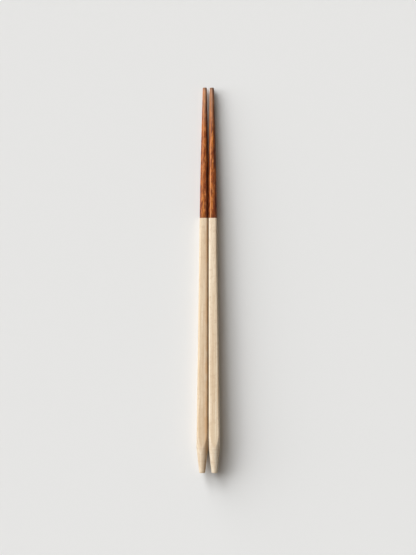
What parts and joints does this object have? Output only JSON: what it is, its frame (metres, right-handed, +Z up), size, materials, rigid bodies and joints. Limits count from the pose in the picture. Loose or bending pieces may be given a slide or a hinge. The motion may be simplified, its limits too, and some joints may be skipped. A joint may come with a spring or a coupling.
{
  "type": "pair of wooden chopsticks",
  "caption": "Wooden chopsticks lying side by side: pale tapered shanks with turned butts, spliced to slim dark round-pointed tips.",
  "frame": {"origin": "midway between the two sticks and midway along them, on the surface that they lie on", "axes": "+Y along the sticks towards their dark points, +X to the right stick as seen from above with the points up, +Z up from the surface"},
  "size_m": [0.0144, 0.235, 0.0071],
  "materials": {
    "pale_wood": "smooth sanded pale straight-grained wood with a faint oil finish",
    "dark_wood": "oiled red-brown wood with fine dark streaks and a soft sheen"
  },
  "bodies": {
    "root": {"left_shank": "pale_wood", "left_tip": "dark_wood", "right_shank": "pale_wood", "right_tip": "dark_wood"}
  },
  "joints": []
}
